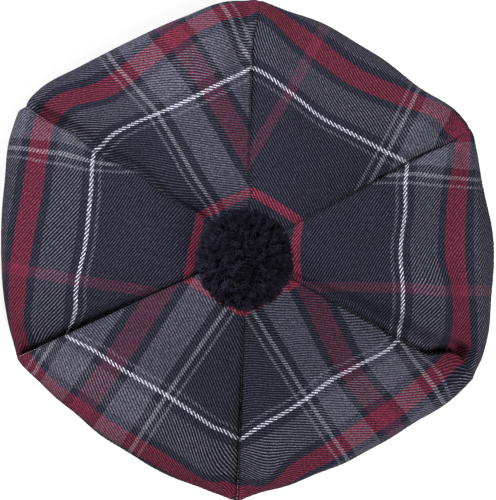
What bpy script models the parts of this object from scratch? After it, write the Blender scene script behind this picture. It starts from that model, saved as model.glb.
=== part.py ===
"""A tam o' shanter: six cloth gores, the headband that they are sewn to, and a wool pompom.

The cap rests on its headband. +Z is up, and the origin is on that surface, under the middle of the outline.
Each gore is one curved wall of cloth. It runs from the crown's point over the full edge and back under to the
headband. Its shape is set by rows that lie across it, named after the stripes of the cloth that run there.
"""

import math
from collections import namedtuple

import bmesh
import bpy
import numpy as np
from mathutils import Vector

MM = 0.001

# Where the six gores meet, from the middle of the cap's outline
CROWN_X = -0.9 * MM
CROWN_Y = -0.9 * MM

CLOTH_THICK = 2.0 * MM
SEAM_GAP = 0.3 * MM  # between one gore and the next
SEAT_GAP = 0.3 * MM  # between pieces that rest on each other

# Heights of the rows above the surface, in mm: in the middle of a gore, and at the seams on its left and right.
# The rows are named after the stripes of the cloth that run along them.
CROWN_HEIGHT = 86.0
THIN_RED_HEIGHTS = (82.0, 78.0, 78.0)
WHITE_HEIGHT, WHITE_SEAM_HEIGHT = 60.5, 46.5
WHITE_MEAN, DOME_SLOPE = 90.0, 0.45  # the middle height holds at this distance, and falls by this slope past it
EDGE_HEIGHTS = (30.0, 24.0, 24.0)
SHOULDER_OUT, SHOULDER_UP = 0.70, 0.60  # a row between the wide red stripe and the edge, as shares of the step
VAULT_POWER = 2.3  # how full a gore stands between its seams
CROWN_HOLE_RADIUS = 3.0  # where the pompom's tie goes through, in mm

# The headband, a ring of doubled cloth. A head of 56.5 cm fits inside it.
BAND_INNER_RADIUS = 90.0 * MM
BAND_THICK = 2.5 * MM
BAND_OUTER_RADIUS = BAND_INNER_RADIUS + BAND_THICK
BAND_TALL = 28.0 * MM
BAND_SOFT_CORNER = 0.5 * MM
BAND_SIDES = 60
HEM_BEND = 0.7 * MM  # how far outside the headband the gores level out above it

# The pompom, a clipped wool ball that leans a little to the front
POMPOM_RADIUS_X = 26.7 * MM
POMPOM_RADIUS_Y = 28.4 * MM
POMPOM_RADIUS_Z = 26.5 * MM
POMPOM_LEAN = (-1.0 * MM, -4.4 * MM)
POMPOM_SINK = 8.0 * MM  # how far the ball is pressed flat on the crown
POMPOM_CLEAR = 0.8 * MM  # from the curve of the crown, so that flat faces clear it by the seat gap
POMPOM_SUBDIVISIONS = 3
LOCK_TALL = 2.6 * MM
TIE_RADIUS = 1.6 * MM
KNOT_RADIUS = 5.0 * MM
KNOT_STEPS = 6
TIE_SIDES = 10
CROWN_ROUNDING = 1.4  # how the crown curves away under the pompom
MERGE_DISTANCE = 0.001 * MM

SHARP_ANGLE = math.radians(50)  # edges that turn by more than this are shaded sharp

# Seams, by their angle from +X in degrees, and the distances in plan from the crown's point at which the cloth's
# stripes and the cap's edge cross them. red_height is how high the seam lies at the wide red stripe. In mm.
Seam = namedtuple("Seam", "angle thin_red white wide_red edge red_height")
SEAMS = {
    "back": Seam(88.3, 33.6, 106.0, 139.5, 146.2, 35.0),
    "back_right": Seam(28.9, 34.2, 105.6, 141.0, 148.5, 35.0),
    "front_right": Seam(-29.6, 33.6, 101.2, 134.2, 150.8, 27.0),
    "front": Seam(-92.2, 34.1, 108.3, 138.5, 144.1, 32.0),
    "front_left": Seam(-155.2, 36.4, 113.0, 142.5, 147.0, 30.0),
    "back_left": Seam(146.8, 34.6, 104.7, 139.8, 155.0, 29.0),
}

# Gores, by the seams on their left and right, seen from above with the crown's point nearest. Each row of a gore
# is given by its distances straight out from that point, at the places across the gore in ROW_PLACES.
# red_height is how high the gore's middle lies at the wide red stripe. In mm.
Gore = namedtuple("Gore", "left_seam right_seam thin_red red_height white wide_red edge")
ROW_PLACES = (-0.8, -0.45, 0.0, 0.45, 0.8)  # from -1 at the left seam to 1 at the right one
GORES = {
    "gore_top_left": Gore(
        "back_left", "back", thin_red=29.6, red_height=45.5,
        white=(94.0, 93.7, 92.3, 91.4, 91.7),
        wide_red=(124.9, 120.2, 123.9, 127.0, 125.8),
        edge=(138.6, 140.1, 139.2, 137.1, 132.9),
    ),
    "gore_top_right": Gore(
        "back", "back_right", thin_red=30.3, red_height=47.5,
        white=(91.7, 90.0, 87.4, 88.8, 90.4),
        wide_red=(123.8, 120.4, 117.4, 121.8, 125.2),
        edge=(129.5, 135.3, 136.6, 134.9, 133.6),
    ),
    "gore_right": Gore(
        "back_right", "front_right", thin_red=28.2, red_height=48.0,
        white=(90.4, 89.7, 87.4, 88.8, 88.0),
        wide_red=(124.2, 121.0, 119.2, 121.3, 119.4),
        edge=(132.1, 137.7, 144.1, 141.7, 138.5),
    ),
    "gore_bottom_right": Gore(
        "front_right", "front", thin_red=28.1, red_height=45.0,
        white=(88.0, 87.1, 88.0, 90.8, 91.1),
        wide_red=(116.8, 119.9, 123.1, 123.8, 125.0),
        edge=(133.1, 134.8, 134.6, 131.3, 127.3),
    ),
    "gore_bottom_left": Gore(
        "front", "front_left", thin_red=31.6, red_height=42.0,
        white=(93.7, 93.1, 93.4, 94.8, 95.9),
        wide_red=(125.6, 127.0, 129.0, 128.4, 127.6),
        edge=(128.1, 132.7, 134.9, 132.8, 129.3),
    ),
    "gore_left": Gore(
        "front_left", "back_left", thin_red=30.8, red_height=44.5,
        white=(96.2, 95.1, 91.7, 90.6, 90.8),
        wide_red=(129.6, 129.7, 127.6, 125.0, 123.3),
        edge=(132.9, 139.5, 143.0, 143.0, 140.9),
    ),
}

# Rows of the underside, below the edge, where the cloth turns under, hangs a little and rises to the headband:
# how much of the way each lies from the headband out to the edge, its heights in mm in the middle of a gore and
# at its seams, and the count of faces from the row before.
UnderRow = namedtuple("UnderRow", "reach middle_height seam_height faces")
UNDERSIDE = (
    UnderRow(0.93, 19.0, 16.5, 2),
    UnderRow(0.74, 12.5, 13.0, 2),
    UnderRow(0.45, 12.0, 14.5, 2),
    UnderRow(0.16, 19.0, 20.5, 2),
)
HEM_FACES = (2, 1)  # from the last of those rows in to the level hem, and across the hem

# Counts of a gore's faces across it, and along it from row to row, as far as the edge
FACES_ACROSS = 10
UPPER_FACES = (2, 5, 3, 2, 2)

# Dents that the tucked corners pull into the cloth: the gore, the place across it (-1 to 1) and along it (0 at
# the crown, 1 at the edge), how wide and long they are in those measures, and how deep, in mm
Dent = namedtuple("Dent", "gore across along wide long deep")
DENTS = (
    Dent("gore_top_left", -0.78, 0.88, 0.20, 0.10, 4.0),
    Dent("gore_right", 0.80, 0.84, 0.18, 0.12, 4.5),
    Dent("gore_left", 0.82, 0.90, 0.14, 0.08, 2.5),
    Dent("gore_right", -0.72, 0.80, 0.14, 0.10, 2.0),
    Dent("gore_left", -0.80, 0.86, 0.16, 0.10, 3.0),
)

# Colour and roughness of each material
FINISHES = {
    "tartan_cloth": ((0.035, 0.036, 0.055), 0.85),
    "headband_cloth": ((0.030, 0.031, 0.045), 0.85),
    "pompom_wool": ((0.004, 0.004, 0.005), 0.95),
}


def material(name):
    """A plain Principled material with the colour and roughness of one finish."""
    colour, roughness = FINISHES[name]
    made = bpy.data.materials.new(name)
    made.use_nodes = True
    shader = made.node_tree.nodes["Principled BSDF"]
    shader.inputs["Base Color"].default_value = (*colour, 1.0)
    shader.inputs["Roughness"].default_value = roughness
    shader.inputs["Metallic"].default_value = 0.0
    return made


def smooth_through(knots, values, at):
    """A smooth curve through values at the given knots, read at a number. Values may be points."""
    knots = np.asarray(knots, float)
    values = np.asarray(values, float)
    steps = np.diff(knots)
    rises = np.diff(values, axis=0) / steps.reshape(-1, *[1] * (values.ndim - 1))
    slopes = [rises[0]]
    for before, after, a, b in zip(rises[:-1], rises[1:], steps[:-1], steps[1:]):
        slopes.append((before * b + after * a) / (a + b))
    slopes.append(rises[-1])
    i = int(np.clip(np.searchsorted(knots, at, side="right") - 1, 0, len(steps) - 1))
    s = (at - knots[i]) / steps[i]
    return (
        values[i] * (1 + 2 * s) * (1 - s) ** 2
        + slopes[i] * steps[i] * s * (1 - s) ** 2
        + values[i + 1] * s * s * (3 - 2 * s)
        + slopes[i + 1] * steps[i] * s * s * (s - 1)
    )


def middle_angle(gore):
    """The direction straight out through a gore's middle, in radians."""
    return math.radians(SEAMS[gore.right_seam].angle) + half_angle(gore)


def half_angle(gore):
    """Half the angle between a gore's seams, in radians."""
    return math.radians((SEAMS[gore.left_seam].angle - SEAMS[gore.right_seam].angle) % 360.0) / 2


def bowed(middle, left_end, right_end):
    """Distances at ROW_PLACES of a row that bows evenly between its ends, from its middle's distance."""
    bow = middle - (left_end + right_end) / 2
    return [
        left_end + (right_end - left_end) * (place + 1) / 2 + bow * (1 - place * place) for place in ROW_PLACES
    ]


def vaulted(middle, left_end, right_end, across):
    """The height of a row that stands up between its two ends."""
    share = (across + 1) / 2
    fullness = 1 - abs(across) ** VAULT_POWER
    return left_end * (1 - share) + right_end * share + (middle - (left_end + right_end) / 2) * fullness


def row_point(gore, distances, seam_distances, heights, across):
    """A row's point at one place across the gore.

    distances are straight out from the crown's point, at ROW_PLACES. heights are the middle's and the two seams'.
    """
    turn = half_angle(gore)
    left, right = seam_distances
    share = (across + 1) / 2
    side = math.sin(turn) * (right * share - left * (1 - share))
    ends = left * math.cos(turn), right * math.cos(turn)
    out = float(smooth_through((-1, *ROW_PLACES, 1), (ends[0], *distances, ends[1]), across))
    middle = middle_angle(gore)
    return MM * np.array(
        (
            out * math.cos(middle) + side * math.sin(middle),
            out * math.sin(middle) - side * math.cos(middle),
            vaulted(*heights, across),
        )
    )


def upper_rows(gore, across):
    """The rows' points from the crown's point to the edge, at one place across the gore."""
    left, right = SEAMS[gore.left_seam], SEAMS[gore.right_seam]
    turn = math.cos(half_angle(gore))
    hole = CROWN_HOLE_RADIUS / turn
    white_height = WHITE_HEIGHT - DOME_SLOPE * (gore.white[ROW_PLACES.index(0.0)] - WHITE_MEAN)
    thin_red = bowed(gore.thin_red, left.thin_red * turn, right.thin_red * turn)
    table = (
        ([CROWN_HOLE_RADIUS] * len(ROW_PLACES), (hole, hole), (CROWN_HEIGHT,) * 3),
        (thin_red, (left.thin_red, right.thin_red), THIN_RED_HEIGHTS),
        (gore.white, (left.white, right.white), (white_height, WHITE_SEAM_HEIGHT, WHITE_SEAM_HEIGHT)),
        (gore.wide_red, (left.wide_red, right.wide_red), (gore.red_height, left.red_height, right.red_height)),
        (gore.edge, (left.edge, right.edge), EDGE_HEIGHTS),
    )
    rows = [row_point(gore, *row, across) for row in table]
    red, edge = rows[-2:]
    shoulder = red + (edge - red) * (SHOULDER_OUT, SHOULDER_OUT, 1 - SHOULDER_UP)
    return [*rows[:-1], shoulder, edge]


def under_rows(edge, across):
    """The rows' points below the edge, which close in on the round headband."""
    full_reach = math.hypot(edge[0], edge[1])
    outwards = np.array((edge[0], edge[1], 0.0)) / full_reach
    rows = []
    for row in UNDERSIDE:
        reach = BAND_OUTER_RADIUS + row.reach * (full_reach - BAND_OUTER_RADIUS)
        height = vaulted(row.middle_height, row.seam_height, row.seam_height, across)
        rows.append(outwards * reach + (0, 0, height * MM))
    seat = BAND_TALL + SEAT_GAP
    for reach in (BAND_OUTER_RADIUS + HEM_BEND, BAND_INNER_RADIUS + SEAT_GAP):
        rows.append(outwards * reach + (0, 0, seat))
    return rows


def sink(name, across, along):
    """How far the dents lower the cloth at a place on a gore."""
    deep = 0.0
    for dent in DENTS:
        if dent.gore == name:
            a = (across - dent.across) / dent.wide
            b = (along - dent.along) / dent.long
            deep += dent.deep * MM * math.exp(-a * a - b * b)
    return deep


def outer_grid(name):
    """The outside of a gore as points, row by row from the crown to the headband, and left to right in each."""
    gore = GORES[name]
    faces = (*UPPER_FACES, *[row.faces for row in UNDERSIDE], *HEM_FACES)
    columns = []
    for i in range(FACES_ACROSS + 1):
        across = -1 + 2 * i / FACES_ACROSS
        upper = upper_rows(gore, across)
        points = np.array(upper + under_rows(upper[-1], across))
        lengths = np.linalg.norm(np.diff(points, axis=0), axis=1)
        knots = np.concatenate([[0], np.cumsum(lengths)])
        places = [knots[k] + lengths[k] * j / count for k, count in enumerate(faces) for j in range(count)]
        column = []
        for at in (*places, knots[-1]):
            point = smooth_through(knots, points, at)
            point[2] -= sink(name, across, at / knots[len(upper) - 1])
            column.append(point)
        columns.append(column)
    return np.array(columns).transpose(1, 0, 2)


def grid_normals(grid):
    """Unit vectors out of a grid's surface, at its points."""
    along = np.gradient(grid, axis=0)
    across = np.gradient(grid, axis=1)
    normal = np.cross(across, along)
    return normal / np.linalg.norm(normal, axis=2, keepdims=True)


def keep_between_seams(points, gore):
    """Moves points that lie too near a seam's upright plane, or past it, back into the gore's own wedge."""
    clear = SEAM_GAP / 2
    for seam, side in ((SEAMS[gore.left_seam], 1), (SEAMS[gore.right_seam], -1)):
        angle = math.radians(seam.angle)
        out = np.array([side * math.sin(angle), -side * math.cos(angle), 0.0])
        short = clear - points @ out
        points += np.clip(short, 0, None)[:, None] * out
    return points


def gore_object(name):
    """One gore: a wall of cloth between its outside and inside, closed all round."""
    gore = GORES[name]
    outside = outer_grid(name)
    inside = outside - grid_normals(outside) * CLOTH_THICK
    inside[-1:, :, :2] = outside[-1:, :, :2]
    inside[-2:, :, 2] = outside[-2:, :, 2] + CLOTH_THICK
    rows, columns = outside.shape[:2]
    points = np.concatenate([outside.reshape(-1, 3), inside.reshape(-1, 3)])
    points = keep_between_seams(points, gore)
    mesh = bmesh.new()
    verts = [mesh.verts.new(Vector(p)) for p in points]

    def at(side, j, i):
        return verts[side * rows * columns + j * columns + i]

    for j in range(rows - 1):
        for i in range(columns - 1):
            mesh.faces.new((at(0, j, i), at(0, j + 1, i), at(0, j + 1, i + 1), at(0, j, i + 1)))
            mesh.faces.new((at(1, j, i), at(1, j, i + 1), at(1, j + 1, i + 1), at(1, j + 1, i)))
        for i in (0, columns - 1):
            mesh.faces.new((at(0, j, i), at(1, j, i), at(1, j + 1, i), at(0, j + 1, i)))
    for i in range(columns - 1):
        for j in (0, rows - 1):
            mesh.faces.new((at(0, j, i), at(0, j, i + 1), at(1, j, i + 1), at(1, j, i)))
    bmesh.ops.recalc_face_normals(mesh, faces=mesh.faces)
    bmesh.ops.triangulate(mesh, faces=mesh.faces)
    return object_from(name, mesh, "tartan_cloth")


def object_from(name, mesh, finish, location=(CROWN_X, CROWN_Y, 0.0)):
    """An object made from a bmesh, shaded smooth, standing at the crown's point in plan."""
    data = bpy.data.meshes.new(name)
    mesh.to_mesh(data)
    mesh.free()
    data.shade_smooth()
    data.set_sharp_from_angle(angle=SHARP_ANGLE)
    data.materials.append(MATERIALS[finish])
    made = bpy.data.objects.new(name, data)
    made.location = location
    bpy.context.scene.collection.objects.link(made)
    return made


def headband_object():
    """The headband: a ring of doubled cloth with soft corners."""
    outer = BAND_OUTER_RADIUS
    soft = BAND_SOFT_CORNER
    profile = (
        (BAND_INNER_RADIUS + soft, 0.0),
        (outer - soft, 0.0),
        (outer, soft),
        (outer, BAND_TALL - soft),
        (outer - soft, BAND_TALL),
        (BAND_INNER_RADIUS + soft, BAND_TALL),
        (BAND_INNER_RADIUS, BAND_TALL - soft),
        (BAND_INNER_RADIUS, soft),
    )
    mesh = bmesh.new()
    verts = [mesh.verts.new((r, 0.0, z)) for r, z in profile]
    edges = [mesh.edges.new((a, b)) for a, b in zip(verts, verts[1:] + verts[:1])]
    bmesh.ops.spin(
        mesh, geom=verts + edges, cent=(0, 0, 0), axis=(0, 0, 1), angle=math.tau, steps=BAND_SIDES, use_merge=True
    )
    bmesh.ops.recalc_face_normals(mesh, faces=mesh.faces)
    return object_from("headband", mesh, "headband_cloth")


def crown_height(r):
    """About how high the gores' middles stand at a small distance from the crown's point."""
    fall = CROWN_HEIGHT - THIN_RED_HEIGHTS[0]
    return MM * (CROWN_HEIGHT - fall * (r / POMPOM_RADIUS_Y) ** CROWN_ROUNDING)


def turned_object(name, profile, finish, sides):
    """A round solid about the upright line through the crown's point. Its profile starts and ends on that line."""
    mesh = bmesh.new()
    verts = [mesh.verts.new((r, 0.0, z)) for r, z in profile]
    edges = [mesh.edges.new(pair) for pair in zip(verts, verts[1:])]
    bmesh.ops.spin(
        mesh, geom=verts + edges, cent=(0, 0, 0), axis=(0, 0, 1), angle=math.tau, steps=sides, use_merge=True
    )
    bmesh.ops.remove_doubles(mesh, verts=mesh.verts, dist=MERGE_DISTANCE)
    bmesh.ops.recalc_face_normals(mesh, faces=mesh.faces)
    return object_from(name, mesh, finish)


def tie_profile(top):
    """The tie goes down through the crown's hole into a round knot inside."""
    neck = math.asin(TIE_RADIUS / KNOT_RADIUS)
    middle = CROWN_HEIGHT * MM - CLOTH_THICK - SEAT_GAP - KNOT_RADIUS
    profile = [(0.0, top), (TIE_RADIUS, top)]
    for k in range(KNOT_STEPS + 1):
        angle = neck + (math.pi - neck) * k / KNOT_STEPS
        profile.append((KNOT_RADIUS * math.sin(angle), middle + KNOT_RADIUS * math.cos(angle)))
    return profile


def pompom_object():
    """The wool ball, its surface raised in clipped locks, with the tie and knot that hold it fused to it."""
    radii = Vector((POMPOM_RADIUS_X, POMPOM_RADIUS_Y, POMPOM_RADIUS_Z))
    centre = Vector((*POMPOM_LEAN, CROWN_HEIGHT * MM + POMPOM_RADIUS_Z - POMPOM_SINK))
    mesh = bmesh.new()
    bmesh.ops.create_icosphere(mesh, subdivisions=POMPOM_SUBDIVISIONS, radius=1.0)
    tips = set(bmesh.ops.poke(mesh, faces=mesh.faces)["verts"])
    for vert in mesh.verts:
        way = vert.co.normalized()
        low = 0.0 if vert in tips else LOCK_TALL
        vert.co = centre + Vector(w * (r - low) for w, r in zip(way, radii))
        seat = crown_height(math.hypot(vert.co.x, vert.co.y)) + POMPOM_CLEAR
        vert.co.z = max(vert.co.z, seat)
    ball = object_from("pompom", mesh, "pompom_wool")
    tie = turned_object("pompom_tie_guide", tie_profile(centre.z), "pompom_wool", TIE_SIDES)
    tie.hide_render = True
    tie.display_type = "WIRE"
    join = ball.modifiers.new("tie", "BOOLEAN")
    join.operation = "UNION"
    join.object = tie
    return ball


for old in list(bpy.data.objects):
    bpy.data.objects.remove(old, do_unlink=True)
MATERIALS = {name: material(name) for name in FINISHES}
for gore_name in GORES:
    gore_object(gore_name)
headband_object()
pompom_object()
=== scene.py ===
"""The finish of a tam o' shanter: its tartan gores, its headband and its wool pompom, on a pale floor.

The file is laid out as an add-on. Each operator makes one piece, or the like pieces, round the solids of the
frame, which stay as they are. Row tables are in millimetres, in plan from the crown's point.
"""

import math
from collections import namedtuple

import bmesh
import bpy
import numpy as np
from bpy.props import FloatProperty, FloatVectorProperty, IntProperty, PointerProperty
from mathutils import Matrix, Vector


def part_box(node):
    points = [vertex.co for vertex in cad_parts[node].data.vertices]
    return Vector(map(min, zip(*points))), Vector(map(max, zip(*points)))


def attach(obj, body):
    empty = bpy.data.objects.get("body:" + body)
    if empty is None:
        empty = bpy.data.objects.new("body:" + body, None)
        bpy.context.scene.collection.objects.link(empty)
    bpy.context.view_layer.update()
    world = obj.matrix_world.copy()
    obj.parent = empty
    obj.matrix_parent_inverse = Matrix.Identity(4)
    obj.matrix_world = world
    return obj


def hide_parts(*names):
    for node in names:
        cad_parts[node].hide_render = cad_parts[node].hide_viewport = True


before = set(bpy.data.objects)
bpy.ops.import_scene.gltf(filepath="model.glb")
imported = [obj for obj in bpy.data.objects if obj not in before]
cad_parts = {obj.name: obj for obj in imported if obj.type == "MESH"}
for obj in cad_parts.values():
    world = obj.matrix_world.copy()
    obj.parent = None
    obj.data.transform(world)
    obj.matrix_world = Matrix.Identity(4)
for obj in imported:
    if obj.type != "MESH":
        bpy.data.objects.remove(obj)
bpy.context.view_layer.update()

bl_info = {
    "name": "Tam o' shanter",
    "version": (1, 0, 0),
    "blender": (4, 5, 0),
    "location": "3D View > Sidebar > Tam o' shanter",
    "description": "Makes the tartan gores, headband, pompom and stage of a tam o' shanter",
    "category": "Object",
}

MM = 0.001
BODY = "root"

# The point where the six gores meet lies over the middle of the headband. The band's own sizes are in mm.
BAND_LOW, BAND_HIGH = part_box("headband")
CROWN = Vector(((BAND_LOW.x + BAND_HIGH.x) / 2, (BAND_LOW.y + BAND_HIGH.y) / 2, 0.0))
BAND_RADIUS = (BAND_HIGH.x - BAND_LOW.x) / 2 / MM
BAND_TALL = BAND_HIGH.z / MM

# ---------------------------------------------------------------- the cut of the gores

# Seams, by their angle from +X in degrees, and the distances from the crown's point at which the cloth's
# stripes and the cap's edge cross them. red_height is the seam's height at the wide red stripe, and notch how
# far its end is drawn in at the edge. low is the gore that dips into the seam, wide the dip's width in mm,
# deep its depth against the plain one, and fade the row where it starts to fade out.
Seam = namedtuple("Seam", "angle thin_red white wide_red edge red_height notch low wide deep fade")
SEAMS = {
    "back": Seam(88.3, 33.6, 106.0, 142.2, 146.2, 35.0, 0.0, "gore_top_right", 2.4, 0.8, 1.9),
    "back_right": Seam(28.9, 34.2, 105.6, 144.6, 149.9, 35.0, 0.0, "gore_top_right", 3.0, 1.1, 2.3),
    "front_right": Seam(-29.6, 33.6, 101.2, 136.9, 152.2, 27.0, 0.0, "gore_right", 9.6, 4.4, 2.6),
    "front": Seam(-92.2, 34.1, 108.3, 141.0, 146.4, 32.0, 0.0, "gore_bottom_left", 3.2, 1.8, 3.6),
    "front_left": Seam(-155.2, 36.4, 114.8, 143.6, 148.2, 30.0, 0.0, "gore_left", 5.5, 2.5, 3.0),
    "back_left": Seam(146.8, 34.6, 104.7, 139.8, 156.4, 29.0, 1.6, "gore_top_left", 5.5, 2.2, 3.2),
}

# Gores, by their seams, seen from above with the crown's point nearest, and the distances of each row
# straight out from that point at ROW_PLACES.
Gore = namedtuple("Gore", "left_seam right_seam thin_red red_height white wide_red edge")
ROW_PLACES = (-0.8, -0.45, 0.0, 0.45, 0.8)  # from -1 at the left seam to 1 at the right one
GORES = {
    "gore_top_left": Gore(
        "back_left", "back", thin_red=29.6, red_height=45.5,
        white=(94.0, 93.7, 92.3, 91.4, 91.7),
        wide_red=(124.9, 120.2, 124.3, 129.4, 127.8),
        edge=(140.4, 140.3, 139.2, 137.6, 134.2),
    ),
    "gore_top_right": Gore(
        "back", "back_right", thin_red=30.3, red_height=47.5,
        white=(91.7, 90.0, 87.4, 88.8, 90.4),
        wide_red=(123.8, 120.4, 117.4, 122.4, 127.2),
        edge=(130.4, 136.2, 137.2, 134.4, 133.8),
    ),
    "gore_right": Gore(
        "back_right", "front_right", thin_red=27.2, red_height=48.0,
        white=(90.4, 89.7, 87.4, 88.8, 89.8),
        wide_red=(123.8, 120.4, 119.2, 122.0, 123.8),
        edge=(133.2, 137.8, 144.3, 141.2, 138.2),
    ),
    "gore_bottom_right": Gore(
        "front_right", "front", thin_red=28.1, red_height=45.0,
        white=(88.0, 87.1, 88.0, 90.8, 91.1),
        wide_red=(116.8, 119.9, 123.1, 123.8, 125.0),
        edge=(133.9, 134.9, 134.9, 132.3, 125.8),
    ),
    "gore_bottom_left": Gore(
        "front", "front_left", thin_red=29.9, red_height=42.0,
        white=(93.7, 93.1, 93.4, 94.8, 95.9),
        wide_red=(125.6, 127.0, 128.6, 128.0, 126.2),
        edge=(128.1, 132.7, 135.2, 132.7, 129.8),
    ),
    "gore_left": Gore(
        "front_left", "back_left", thin_red=29.9, red_height=44.5,
        white=(96.2, 95.1, 91.7, 90.6, 90.8),
        wide_red=(129.6, 129.7, 127.6, 125.0, 123.3),
        edge=(134.0, 139.7, 143.0, 143.2, 141.2),
    ),
}

# Heights of the rows in the middle of a gore and at its seams
CROWN_HEIGHT = 86.0
THIN_RED_HEIGHTS = (82.0, 78.0, 78.0)
WHITE_HEIGHT, WHITE_SEAM_HEIGHT = 60.5, 46.5
WHITE_MEAN, DOME_SLOPE = 90.0, 0.45  # the middle height holds at this distance, and falls past it
EDGE_HEIGHTS = (27.0, 22.5, 22.5)
SHOULDER_OUT, SHOULDER_UP = 0.72, 0.68  # shares of the step from the wide red stripe to the edge
VAULT_POWER = 2.3  # how full a gore stands between its seams
CROWN_HOLE_RADIUS = 3.0

# Rows of the underside: how much of the way each lies from the headband out to the edge, its heights in the
# middle of a gore and at its seams, and the count of faces from the row before.
UnderRow = namedtuple("UnderRow", "reach middle_height seam_height faces")
UNDERSIDE = (
    UnderRow(0.93, 19.0, 16.5, 9),
    UnderRow(0.74, 12.5, 13.0, 9),
    UnderRow(0.45, 12.0, 14.5, 10),
    UnderRow(0.16, 19.0, 20.5, 9),
)
HEM_FACES = (6, 2)  # from the last of those rows in to the level hem, and across the hem
HEM_BEND, HEM_GAP = 0.7, 0.3  # how far outside the headband and above it the gores level out
HEM_WIDE = 2.2  # how far in over the headband the hem reaches

# The rows from the crown out to the edge, and the counts of faces between them
CROWN_ROW, THIN_RED_ROW, WHITE_ROW, WIDE_RED_ROW, SHOULDER_ROW, EDGE_ROW = range(6)
UPPER_FACES = (6, 34, 20, 10, 8)
FACES_ACROSS = 112
SEAM_CROWDING = 1.5  # above 1, the faces are narrower towards the seams

# The seams, in mm. At each one a gore dips, and the other rolls over its own lip.
SEAM_GAP = 0.06
SEAM_REACH = 5.0  # how near a seam the cloth is moved along the seam's plane, and no longer straight out
SEAM_END = 0.45  # the depth of a seam's dip at the edge
VALLEY_FULL, VALLEY_FLOOR = 95.0, 0.4  # where a dip has its full width, and how much of that is its floor
LIP = 1.6  # the width over which the other gore rolls into a seam
CROWN_DEPTH = 0.4  # the share of a seam's depth that it has at the crown
HOLLOW, HOLLOW_REACH, HOLLOW_ROWS = 0.8, 6.0, 0.5  # a shallow hollow by a seam, and its rows past the edge
ROLL_ROW = 3.2  # up to this row the cloth rolls straight down at a seam, and past it towards its own inside
NOTCH_REACH = 2.6  # how far beside its seam a notch draws the edge in
NOTCH_GROWS, NOTCH_HOLDS, NOTCH_ENDS = 1.5, 0.5, 2.0  # in rows: out from the wide red one, then past the edge
HEM_CLEAR, HEM_FADES = 1.2, 1.5  # the rows by the hem that don't roll in, and those over which that fades
ALLOWANCE_THICK, ALLOWANCE_STEP = 0.9, 0.8  # what a turned-back allowance adds to the wall, and its edge
ALLOWANCE_ROW, ALLOWANCE_GROWS = 1.2, 0.4  # the row where the allowances start, and the rows they grow over

# ---------------------------------------------------------------- the tartan

# Half of the repeat, in mm from the middle of a thin red stripe to the middle of a wide one: where each
# colour of the yarn round the cap starts, where that of the outward yarn does, and the colour. The repeat
# turns back at both middles.
HALF_REPEAT = 104.4
WHITE_PLACE = 69.0
SETT = (
    (0.0, 0.0, "thin_red"),
    (2.5, 3.2, "navy"),
    (62.3, 62.6, "faint"),
    (64.4, 64.4, "navy"),
    (67.6, 67.6, "white"),
    (70.1, 70.1, "navy"),
    (75.0, 75.0, "grey"),
    (93.2, 92.8, "navy"),
    (98.2, 97.7, "red"),
)
# How much of each colour is kept in the painted shade of the gaps between its ribs, against their crests
SHADED_GAP_FILL = {"navy": 0.05, "grey": 0.03, "faint": 0.02, "white": 0.04, "thin_red": 0.10, "red": 0.15}

# Stripes that run outwards in a gore: their place in the repeat, and how far in plan they lie to the right of
# the gore's middle where they cross the thin red, white and wide red rows and the edge.
Stripe = namedtuple("Stripe", "place thin_red white wide_red edge")
STRIPES = {
    "gore_top_left": (
        Stripe(69.0, -5.8, -8.5, -14.9, -19.1),
        Stripe(104.4, 27.8, 25.8, 21.6, 19.5),
        Stripe(139.8, 60.0, 53.1, 53.0, 52.7),
    ),
    "gore_top_right": (Stripe(0.0, -26.7, -26.1, -28.1, -29.0), Stripe(69.0, 40.6, 39.1, 36.7, 36.0)),
    "gore_right": (Stripe(-69.0, -43.4, -44.3, -43.0, -42.3), Stripe(0.0, 19.6, 20.0, 21.3, 21.5)),
    "gore_bottom_right": (
        Stripe(69.0, -51.2, -52.2, -54.9, -57.8),
        Stripe(104.4, -21.0, -17.7, -23.0, -25.0),
        Stripe(139.8, 13.1, 10.2, 8.0, 7.5),
    ),
    "gore_bottom_left": (
        Stripe(69.0, -8.1, -7.6, -8.0, -8.1),
        Stripe(104.4, 27.6, 27.5, 29.2, 30.2),
        Stripe(139.8, 62.9, 63.6, 63.1, 65.0),
    ),
    "gore_left": (Stripe(0.0, -29.0, -23.3, -20.1, -20.3), Stripe(69.0, 39.5, 43.7, 48.8, 50.2)),
}
SIDE_STRETCH = 1.06  # cloth for each millimetre in plan, outside the named stripes

# ---------------------------------------------------------------- folds

# Folds raise or sink the cloth along a line in plan, from the crown's point: the gore, the line's two ends,
# the half width and the height.
Fold = namedtuple("Fold", "gore x0 y0 x1 y1 wide tall")
FOLDS = (
    Fold("gore_right", 96, 43, 118, 54, 6.0, 2.2),
    Fold("gore_top_right", 110, 66, 121, 70, 6.0, -3.0),
    Fold("gore_right", 60, -28, 122, -46, 9.0, -3.0),
    Fold("gore_right", 109, -21, 115, -38, 10.5, 5.5),
    Fold("gore_bottom_right", 55, -42, 100, -66, 4.0, 0.9),
    Fold("gore_bottom_right", 32, -50, 44, -66, 8.0, -3.4),
    Fold("gore_left", -40, -12, -128, -50, 8.0, -2.0),
    Fold("gore_bottom_left", -55, -34, -120, -64, 4.0, 0.8),
    Fold("gore_top_left", -3, 108, 0, 138, 7.0, -2.5),
    Fold("gore_top_right", 12, 100, 16, 132, 6.0, 1.2),
    Fold("gore_top_right", 28, 66, 36, 72, 14.0, -1.5),
    Fold("gore_bottom_left", -12, -105, -11, -136, 6.0, -3.2),
    Fold("gore_top_left", -60, 50, -88, 66, 7.0, -2.0),
    Fold("gore_left", -50, 26, -80, 42, 5.0, 1.2),
    Fold("gore_left", -82, 45, -116, 64, 6.0, 1.5),
)
LIFT_ROWS, LIFT_CLEAR = 0.5, 6.0  # the rows over which folds and waves grow, and their fading by a seam
WAVES, WAVE_LENGTHS, WAVE_HEIGHT = 7, (26, 60), 0.28  # slow waves in each gore
WAVE_SEED = 11
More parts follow.
